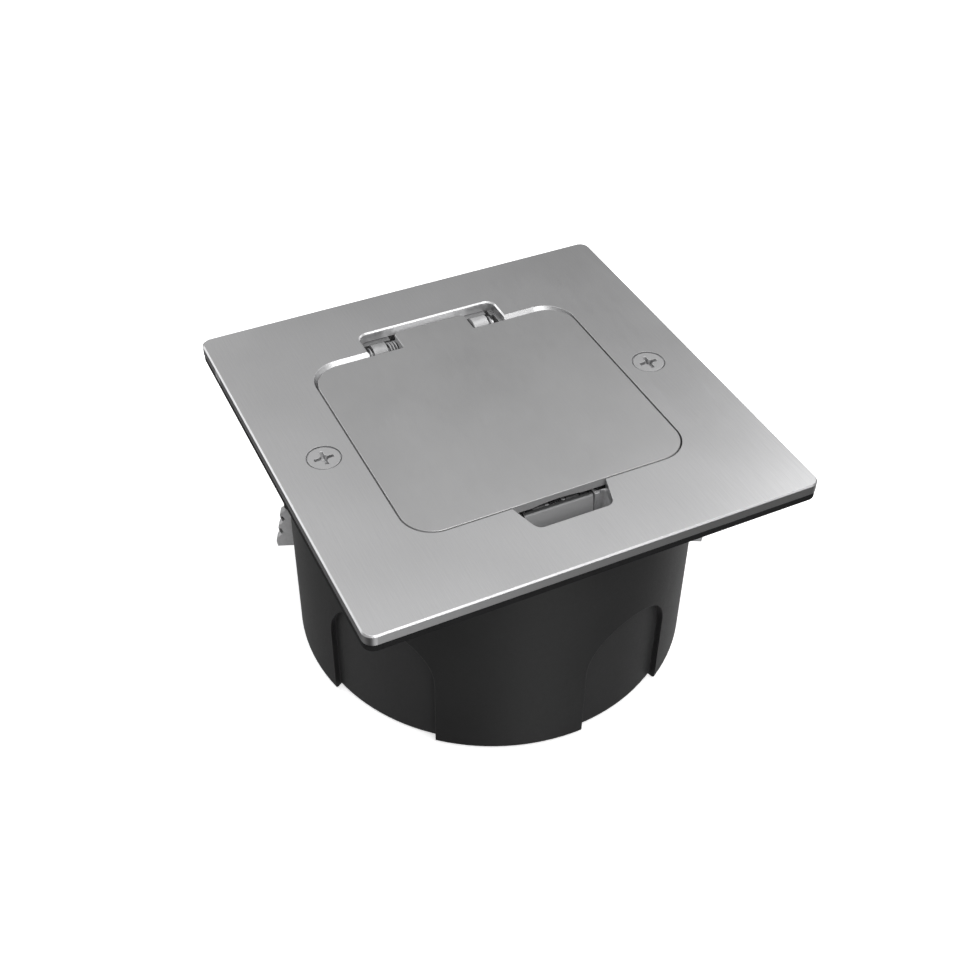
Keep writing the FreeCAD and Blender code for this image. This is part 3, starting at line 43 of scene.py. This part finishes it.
# ------------------------------------------------------------------ node helpers
class Tree:
    """Short calls for building one material's nodes."""

    def __init__(self, name):
        self.m = bpy.data.materials.new(name)
        self.m.use_nodes = True
        self.t = self.m.node_tree
        self.t.nodes.clear()
        self.out = self.n("ShaderNodeOutputMaterial")
        self.b = self.n("ShaderNodeBsdfPrincipled")
        self.l(self.b.outputs["BSDF"], self.out.inputs["Surface"])
        self._obj = None

    def n(self, kind, **props):
        x = self.t.nodes.new(kind)
        for k, v in props.items():
            setattr(x, k, v)
        return x

    def l(self, a, b):
        self.t.links.new(a, b)
        return b

    def put(self, socket, v):
        if isinstance(v, bpy.types.NodeSocket):
            self.l(v, socket)
        else:
            socket.default_value = v

    @property
    def obj(self):
        if self._obj is None:
            self._obj = self.n("ShaderNodeTexCoord").outputs["Object"]
        return self._obj

    def stretch(self, sx, sy, sz, rot=(0, 0, 0), src=None):
        m = self.n("ShaderNodeMapping")
        self.l(src or self.obj, m.inputs["Vector"])
        m.inputs["Scale"].default_value = (sx, sy, sz)
        m.inputs["Rotation"].default_value = rot
        return m.outputs["Vector"]

    def noise(self, vec, scale=1.0, detail=2.0, rough=0.5, distort=0.0):
        x = self.n("ShaderNodeTexNoise")
        self.put(x.inputs["Vector"], vec)
        x.inputs["Scale"].default_value = scale
        x.inputs["Detail"].default_value = detail
        x.inputs["Roughness"].default_value = rough
        x.inputs["Distortion"].default_value = distort
        return x.outputs["Fac"]

    def voronoi(self, vec, scale, feature="F1", smooth=None):
        x = self.n("ShaderNodeTexVoronoi", feature=feature)
        self.put(x.inputs["Vector"], vec)
        x.inputs["Scale"].default_value = scale
        return x.outputs["Distance"]

    def math(self, op, a, b=0.0, c=None, clamp=False):
        x = self.n("ShaderNodeMath", operation=op, use_clamp=clamp)
        self.put(x.inputs[0], a)
        self.put(x.inputs[1], b)
        if c is not None:
            self.put(x.inputs[2], c)
        return x.outputs[0]

    def remap(self, v, a, b, c, d, clamp=True):
        x = self.n("ShaderNodeMapRange", clamp=clamp)
        self.put(x.inputs["Value"], v)
        for k, y in zip(("From Min", "From Max", "To Min", "To Max"), (a, b, c, d)):
            self.put(x.inputs[k], y)
        return x.outputs["Result"]

    def mix(self, fac, a, b, blend="MIX"):
        x = self.n("ShaderNodeMix", data_type="RGBA", blend_type=blend)
        self.put(x.inputs[0], fac)
        for i, v in ((6, a), (7, b)):
            self.put(x.inputs[i], v if isinstance(v, bpy.types.NodeSocket) else (*v, 1.0))
        return x.outputs[2]

    def bump(self, height, strength, distance, under=None):
        x = self.n("ShaderNodeBump")
        x.inputs["Strength"].default_value = strength
        x.inputs["Distance"].default_value = distance
        self.put(x.inputs["Height"], height)
        if under is not None:
            self.l(under, x.inputs["Normal"])
        return x.outputs["Normal"]

    def edge(self, radius, samples=6):
        """How far the surface turns near a point: 0 on flat places, up to 1 at sharp edges."""
        bv = self.n("ShaderNodeBevel", samples=samples)
        bv.inputs["Radius"].default_value = radius
        geo = self.n("ShaderNodeNewGeometry")
        dot = self.n("ShaderNodeVectorMath", operation="DOT_PRODUCT")
        self.l(bv.outputs["Normal"], dot.inputs[0])
        self.l(geo.outputs["Normal"], dot.inputs[1])
        return self.remap(dot.outputs["Value"], 1.0, 0.86, 0.0, 1.0)

    def soft_normal(self, radius, samples=6):
        bv = self.n("ShaderNodeBevel", samples=samples)
        bv.inputs["Radius"].default_value = radius
        return bv.outputs["Normal"]

    def base(self, color=None, metallic=None, rough=None, normal=None, spec=None, aniso=None, coat=None, sheen=None):
        b = self.b.inputs
        if color is not None:
            self.put(b["Base Color"], color if isinstance(color, bpy.types.NodeSocket) else (*color, 1.0))
        if metallic is not None:
            self.put(b["Metallic"], metallic)
        if rough is not None:
            self.put(b["Roughness"], rough)
        if normal is not None:
            self.l(normal, b["Normal"])
        if spec is not None:
            b["Specular IOR Level"].default_value = spec
        if aniso is not None:
            b["Anisotropic"].default_value = aniso
        if coat is not None:
            b["Coat Weight"].default_value, b["Coat Roughness"].default_value = coat
        if sheen is not None:
            b["Sheen Weight"].default_value, b["Sheen Roughness"].default_value = sheen
        return self.m

    def along(self, axis):
        """A tangent that turns with the piece."""
        c = self.n("ShaderNodeVectorTransform", vector_type="VECTOR", convert_from="OBJECT", convert_to="WORLD")
        c.inputs[0].default_value = axis
        self.l(c.outputs[0], self.b.inputs["Tangent"])


# ------------------------------------------------------------------ materials
def brushed(name, base, rough, grain, length=0.007, width=0.00015, aniso=0.5, bump=0.10, cut=0.0, soft=0.00012, notch=0.0):
    """Steel with straight fine grain along Y. cut: how much duller the sheared side faces are. notch: how much less
    metallic the hinge notch's rear face is; it also turns on painted light on that face and painted shade on the
    right of the chamfer beside the hinge.
    """
    t = Tree(name)
    fine = t.noise(t.stretch(1 / width, 1 / length, 1 / width), 1.0, 3.0, 0.65)
    wide = t.noise(t.stretch(1 / (width * 4.5), 1 / (length * 1.6), 1 / (width * 4.5)), 1.0, 2.0, 0.5)
    cloud = t.noise(t.obj, 28.0, 3.0, 0.5)
    lines = t.math("ADD", t.math("MULTIPLY", fine, 0.74), t.math("MULTIPLY", wide, 0.26))
    shade = t.remap(lines, 0.25, 0.75, 1 - grain, 1 + grain)
    shade = t.math("MULTIPLY", shade, t.remap(cloud, 0.3, 0.7, 0.985, 1.015))
    col = t.mix(1.0, base, (1, 1, 1), "MULTIPLY")
    hue = t.n("ShaderNodeVectorMath", operation="SCALE")
    t.l(col, hue.inputs[0])
    t.l(shade, hue.inputs["Scale"])
    r = t.math("ADD", t.remap(lines, 0.3, 0.7, rough + 0.05, rough - 0.05), t.remap(cloud, 0.3, 0.7, -0.015, 0.015))
    metal = 1.0
    if cut:
        way = t.n("ShaderNodeSeparateXYZ")
        t.l(t.n("ShaderNodeTexCoord").outputs["Normal"], way.inputs[0])
        side = t.remap(t.math("ABSOLUTE", way.outputs["Z"]), 0.2, 0.6, 1.0, 0.0)
        metal = t.math("SUBTRACT", 1.0, t.math("MULTIPLY", side, cut))
        r = t.math("ADD", r, t.math("MULTIPLY", side, 0.08))
    if notch:
        way, at = t.n("ShaderNodeSeparateXYZ"), t.n("ShaderNodeSeparateXYZ")
        t.l(t.n("ShaderNodeTexCoord").outputs["Normal"], way.inputs[0])
        t.l(t.obj, at.inputs[0])
        # painted light: the hinge notch's rear face is made less metallic and painted up to 35% brighter, most
        # between the hinge holes
        painted_wall_light = t.remap(t.math("ABSOLUTE", way.outputs["Z"]), 0.2, 0.5, 1.0, 0.0)
        painted_wall_light = t.math("MULTIPLY", painted_wall_light, t.remap(t.math("ABSOLUTE", at.outputs["X"]), 0.0125, 0.0140, 1.0, 0.35))
        painted_wall_light = t.math("MULTIPLY", painted_wall_light, t.remap(at.outputs["Y"], 0.0440, 0.0450, 0.0, 1.0))
        painted_wall_light = t.math("MULTIPLY", painted_wall_light, t.remap(at.outputs["Y"], 0.0480, 0.0490, 1.0, 0.0))
        metal = t.math("SUBTRACT", metal, t.math("MULTIPLY", painted_wall_light, notch))
        # painted shade: the milled chamfer beside the hinge is painted up to 24% darker on the right
        painted_slope_shade = t.math("MULTIPLY", t.remap(t.math("ABSOLUTE", way.outputs["Z"]), 0.5, 0.6, 0.0, 1.0), t.remap(t.math("ABSOLUTE", way.outputs["Z"]), 0.80, 0.90, 1.0, 0.0))
        painted_slope_shade = t.math("MULTIPLY", painted_slope_shade, t.math("MULTIPLY", t.remap(at.outputs["Y"], 0.034, 0.035, 0.0, 1.0), t.remap(at.outputs["Y"], 0.039, 0.040, 1.0, 0.0)))
        painted_slope_shade = t.math("MULTIPLY", painted_slope_shade, t.remap(at.outputs["X"], 0.020, 0.022, 0.0, 1.0))
        shade = t.math("MULTIPLY", shade, t.math("SUBTRACT", 1.0, t.math("MULTIPLY", painted_slope_shade, 0.24)))
        t.l(t.math("MULTIPLY", shade, t.math("ADD", 1.0, t.math("MULTIPLY", painted_wall_light, 0.35))), hue.inputs["Scale"])
    t.base(hue.outputs[0], metal, r, t.bump(lines, bump, 0.00003, t.soft_normal(soft, 4)), aniso=aniso)
    t.along((1, 0, 0.25))
    return t.m


def turned(name, base, rough, grain=0.05, scale=2600.0, bump=0.12, metallic=1.0):
    """Small steel pieces: fine mixed marks, slightly worn edges."""
    t = Tree(name)
    fine = t.noise(t.obj, scale, 3.0, 0.6)
    spots = t.noise(t.obj, scale * 0.16, 3.0, 0.55)
    mixv = t.math("ADD", t.math("MULTIPLY", fine, 0.5), t.math("MULTIPLY", spots, 0.5))
    worn = t.edge(0.00018)
    shade = t.remap(mixv, 0.3, 0.7, 1 - grain, 1 + grain)
    shade = t.math("MULTIPLY", shade, t.math("ADD", 1.0, t.math("MULTIPLY", worn, 0.10)))
    hue = t.n("ShaderNodeVectorMath", operation="SCALE")
    hue.inputs[0].default_value = base
    t.l(shade, hue.inputs["Scale"])
    r = t.math("SUBTRACT", t.remap(mixv, 0.3, 0.7, rough + 0.05, rough - 0.04), t.math("MULTIPLY", worn, 0.06), clamp=True)
    t.base(hue.outputs[0], metallic, r, t.bump(mixv, bump, 0.00004, t.soft_normal(0.00012, 4)))
    return t.m


def moulded(name, base, rough, light, spec=0.4, scale=3200.0, bump=0.16, mottled=0.12, radius=0.0002, sheen=None, panel_light=None):
    """Moulded plastic: spark-eroded texture, faint flow clouds, paler rubbed edges."""
    t = Tree(name)
    grain = t.noise(t.obj, scale, 2.0, 0.6)
    grain2 = t.noise(t.obj, scale * 0.35, 2.0, 0.6)
    cloud = t.noise(t.obj, 30.0, 4.0, 0.55, 0.4)
    dust = t.remap(t.noise(t.obj, 900.0, 4.0, 0.7), 0.62, 0.78, 0.0, 1.0)
    height = t.math("ADD", t.math("MULTIPLY", grain, 0.6), t.math("MULTIPLY", grain2, 0.4))
    worn = t.edge(radius * 2)
    dark = tuple(c * (1 - mottled) for c in base)
    pale = tuple(c * (1 + mottled) for c in base)
    c = t.mix(t.remap(cloud, 0.3, 0.7, 0.0, 1.0), dark, pale)
    if panel_light:
        # painted light: the recessed panel areas, at this radius from the pot's axis, are painted paler
        at = t.n("ShaderNodeSeparateXYZ")
        t.l(t.obj, at.inputs[0])
        r2 = t.math("ADD", t.math("MULTIPLY", at.outputs["X"], at.outputs["X"]), t.math("MULTIPLY", at.outputs["Y"], at.outputs["Y"]))
        away = t.math("ABSOLUTE", t.math("SUBTRACT", t.math("SQRT", r2), panel_light[0]))
        c = t.mix(t.remap(away, 0.0003, 0.0006, 1.0, 0.0), c, tuple(v * panel_light[1] for v in base))
    c = t.mix(t.math("MULTIPLY", worn, 0.35), c, light)
    c = t.mix(t.math("MULTIPLY", dust, 0.06), c, light)
    r = t.math("ADD", t.remap(height, 0.3, 0.7, rough - 0.05, rough + 0.05), t.remap(cloud, 0.3, 0.7, -0.03, 0.03))
    t.base(c, 0.0, r, t.bump(height, bump, 0.00005, t.soft_normal(radius)), spec=spec, sheen=sheen)
    return t.m


def rubber(name, base, rough=0.75):
    t = Tree(name)
    a = t.noise(t.obj, 2400.0, 3.0, 0.7)
    b = t.noise(t.obj, 140.0, 4.0, 0.6)
    c = t.mix(t.remap(b, 0.3, 0.7, 0.0, 1.0), tuple(v * 0.8 for v in base), tuple(v * 1.3 for v in base))
    c = t.mix(t.remap(a, 0.66, 0.8, 0.0, 0.25), c, tuple(v * 2.6 for v in base))
    t.base(c, 0.0, t.remap(a, 0.3, 0.7, rough - 0.08, rough + 0.08), t.bump(a, 0.2, 0.00005), spec=0.25)
    return t.m


def cast(name, base, rough, lumps=0.35, grain=0.08, metallic=0.5, fine=0.15, zones=None, vary=0.06):
    """Die-cast zinc: soft lumps, fine skin, brighter rubbed edges. zones "carrier": painted shade in the hinge
    pocket and the left hinge hole, painted light towards the cable chute. zones "flap": painted shade on all but the
    outer face."""
    t = Tree(name)
    skin = t.noise(t.obj, 1500.0, 4.0, 0.6)
    lump = t.noise(t.obj, 260.0, 3.0, 0.5, 0.3)
    worn = t.edge(0.0003)
    shade = t.math("MULTIPLY", t.remap(skin, 0.3, 0.7, 1 - grain, 1 + grain), t.remap(lump, 0.3, 0.7, 1 - grain, 1 + grain))
    shade = t.math("MULTIPLY", shade, t.math("ADD", 1.0, t.math("MULTIPLY", worn, 0.15)))
    if zones == "flap":
        at = t.n("ShaderNodeSeparateXYZ")
        t.l(t.obj, at.inputs[0])
        # painted shade: darker behind the flap's outer face, down to 22%
        shade = t.math("MULTIPLY", shade, t.remap(at.outputs["Y"], -0.0382, -0.0379, 1.0, 0.22))
    if zones == "carrier":
        at = t.n("ShaderNodeSeparateXYZ")
        t.l(t.obj, at.inputs[0])
        # painted shade: the hinge pocket below the carrier's top is painted up to 48% darker
        pocket_shade = t.math("MULTIPLY", t.remap(at.outputs["Y"], 0.034, 0.038, 0.0, 1.0), t.remap(at.outputs["Z"], 0.0711, 0.0714, 1.0, 0.0))
        shade = t.math("MULTIPLY", shade, t.math("SUBTRACT", 1.0, t.math("MULTIPLY", pocket_shade, 0.48)))
        # painted light: up to 1.45 times brighter towards the cable chute
        shade = t.math("MULTIPLY", shade, t.remap(at.outputs["Y"], -0.034, -0.030, 1.45, 1.0))
        # painted shade: the left hinge hole is painted up to 30% darker
        ear_shade = t.math("MULTIPLY", t.remap(at.outputs["Y"], 0.034, 0.038, 0.0, 1.0), t.remap(at.outputs["X"], -0.0125, -0.0115, 1.0, 0.0))
        shade = t.math("MULTIPLY", shade, t.math("SUBTRACT", 1.0, t.math("MULTIPLY", ear_shade, 0.30)))
    hue = t.n("ShaderNodeVectorMath", operation="SCALE")
    hue.inputs[0].default_value = base
    t.l(shade, hue.inputs["Scale"])
    n = t.bump(lump, lumps, 0.0002, t.soft_normal(0.0002))
    if fine:
        n = t.bump(skin, fine, 0.00005, n)
    t.base(hue.outputs[0], metallic, t.remap(skin, 0.3, 0.7, rough - vary, rough + vary), n)
    return t.m


M = {
    "plate_steel": brushed("plate_steel", (0.62, 0.62, 0.625), 0.34, 0.075, notch=0.7),
    "lid_steel": brushed("lid_steel", (0.50, 0.50, 0.503), 0.38, 0.030, length=0.004, width=0.00011, aniso=0.2, bump=0.05, cut=0.65, soft=0.00003),
    "screw_steel": turned("screw_steel", (0.55, 0.55, 0.555), 0.34, metallic=0.9),
    "zinc_steel": turned("zinc_steel", (0.56, 0.57, 0.59), 0.36, metallic=0.75),
    "pin_steel": turned("pin_steel", (0.62, 0.62, 0.63), 0.34, metallic=0.7),
    "spring_steel": turned("spring_steel", (0.29, 0.29, 0.295), 0.42, metallic=0.6),
    # painted shade: near-black steel so the flap bracket in the gap under the lid reads as shade
    "dark_steel": turned("dark_steel", (0.07, 0.07, 0.074), 0.45, metallic=0.5),
    "cast_metal": cast("cast_metal", (0.43, 0.43, 0.435), 0.44, lumps=0.3, metallic=0.4, zones="carrier"),
    "flap_metal": cast("flap_metal", (0.52, 0.52, 0.525), 0.24, lumps=0.02, grain=0.01, metallic=0.4, fine=0.0, zones="flap", vary=0.01),
    "claw_metal": cast("claw_metal", (0.43, 0.43, 0.435), 0.50, lumps=0.25, metallic=0.3),
    "brass": turned("brass", (0.72, 0.53, 0.22), 0.28),
    "contact_nickel": turned("contact_nickel", (0.66, 0.63, 0.57), 0.25),
    "pot_plastic": moulded("pot_plastic", (0.0125, 0.0125, 0.0128), 0.50, (0.05, 0.05, 0.052), spec=0.42, sheen=(0.08, 0.30), panel_light=(0.055, 1.6)),
    "base_plastic": moulded("base_plastic", (0.16, 0.165, 0.175), 0.5, (0.26, 0.27, 0.28)),
    "cover_plastic": moulded("cover_plastic", (0.74, 0.74, 0.72), 0.28, (0.80, 0.80, 0.79), spec=0.5, bump=0.05, mottled=0.02),
    "gasket_rubber": rubber("gasket_rubber", (0.007, 0.007, 0.0074)),
    "seal_rubber": rubber("seal_rubber", (0.016, 0.016, 0.0165)),
}

for sub in frame["record"]["subparts"]:
    o = nodes[sub["node"]]
    o.data.materials.clear()
    o.data.materials.append(M[sub["material_slot"]])
    for p in o.data.polygons:
        p.material_index = 0

# ------------------------------------------------------------------ stage
me = bpy.data.meshes.new("floor")
bm = bmesh.new()
bmesh.ops.create_grid(bm, x_segments=2, y_segments=2, size=6.0)
bm.to_mesh(me)
bm.free()
floor = bpy.data.objects.new("floor", me)
floor.location = (0, 0, -0.0002)
scene.collection.objects.link(floor)
ft = Tree("floor_paint")
ft.base((0.9, 0.9, 0.9), 0.0, 0.9, spec=0.0)
ft.b.inputs["Emission Color"].default_value = (1, 1, 1, 1)
ft.b.inputs["Emission Strength"].default_value = 0.55
me.materials.append(ft.m)
floor.visible_glossy = False


def softbox(name, at, to, size, watts, color=(1, 1, 1), spread=180.0):
    L = bpy.data.lights.new(name, "AREA")
    L.shape = "RECTANGLE"
    L.size, L.size_y = size
    L.energy = watts
    L.color = color
    L.spread = math.radians(spread)
    o = bpy.data.objects.new(name, L)
    o.location = at
    o.rotation_mode = "QUATERNION"
    o.rotation_quaternion = (Vector(to) - Vector(at)).to_track_quat("-Z", "Y")
    scene.collection.objects.link(o)
    return o


def around(az, el, r, c=(0, 0, 0.05)):
    """A point at azimuth az (0 = +Y, 90 = +X) and elevation el, r metres from the object."""
    a, e = math.radians(az), math.radians(el)
    return (c[0] + r * math.sin(a) * math.cos(e), c[1] + r * math.cos(a) * math.cos(e), c[2] + r * math.sin(e))


softbox("overhead", (0.0, -0.15, 1.9), (0, 0, 0), (1.7, 1.7), 17.0)
softbox("right", around(77, 38, 1.5), (0, 0, 0.05), (1.15, 0.9), 6.6)
softbox("front", around(173, 46, 1.5), (0, 0, 0.05), (0.75, 0.55), 4.6)
softbox("left", around(-30, 34, 1.6), (0, 0, 0.05), (0.95, 0.7), 3.4)

# studio walls: paler with height, a pale front wall, dark below the object
world = bpy.data.worlds.new("studio")
scene.world = world
world.use_nodes = True
wt = world.node_tree
wt.nodes.clear()


def wn(kind, **props):
    x = wt.nodes.new(kind)
    for k, v in props.items():
        setattr(x, k, v)
    return x


def wmath(op, a, b=0.0):
    x = wn("ShaderNodeMath", operation=op)
    for s, v in zip(x.inputs, (a, b)):
        if isinstance(v, bpy.types.NodeSocket):
            wt.links.new(v, s)
        else:
            s.default_value = v
    return x.outputs[0]


wo, bg, co, sep = wn("ShaderNodeOutputWorld"), wn("ShaderNodeBackground"), wn("ShaderNodeTexCoord"), wn("ShaderNodeSeparateXYZ")
wt.links.new(co.outputs["Generated"], sep.inputs[0])
ramp = wn("ShaderNodeValToRGB")
wt.links.new(wmath("MULTIPLY_ADD", sep.outputs["Z"], 0.5), ramp.inputs["Fac"])
ramp.inputs["Fac"].links[0].from_node.inputs[2].default_value = 0.5
cr = ramp.color_ramp
# height z = 2 * position - 1
for pos, v in ((0.0, 0.02), (0.25, 0.022), (0.42, 0.045), (0.53, 0.34), (0.72, 0.26), (0.78, 0.175), (0.86, 0.70), (1.0, 0.9)):
    e = cr.elements.new(pos) if pos not in (0.0, 1.0) else cr.elements[0 if pos == 0.0 else -1]
    e.color = (v, v, v, 1)


def lobe(direction, k, amount):
    """A soft bright patch round one direction."""
    d = Vector(direction).normalized()
    dot = wn("ShaderNodeVectorMath", operation="DOT_PRODUCT")
    wt.links.new(co.outputs["Generated"], dot.inputs[0])
    dot.inputs[1].default_value = d
    return wmath("MULTIPLY", wmath("EXPONENT", wmath("MULTIPLY", wmath("SUBTRACT", dot.outputs["Value"], 1.0), k)), amount)


total = ramp.outputs["Color"]
for direction, k, amount in (((0.02, -0.694, -0.719), 30.0, 1.15), ((0.80, 0.18, -0.57), 14.0, 0.52), ((-0.88, 0.23, -0.42), 9.0, 0.36),
                             ((-0.66, 0.72, 0.19), 15.0, 1.15), ((0.531, -0.705, 0.469), 60.0, 1.1), ((0.043, 0.828, 0.559), 60.0, 0.34)):
    total = wmath("ADD", total, lobe(direction, k, amount))
wt.links.new(total, bg.inputs["Strength"])
bg.inputs["Color"].default_value = (1, 1, 1, 1)
wt.links.new(bg.outputs["Background"], wo.inputs["Surface"])

scene.view_settings.view_transform = "Standard"
scene.view_settings.look = "None"
scene.view_settings.exposure = 0.0
scene.view_settings.gamma = 1.0
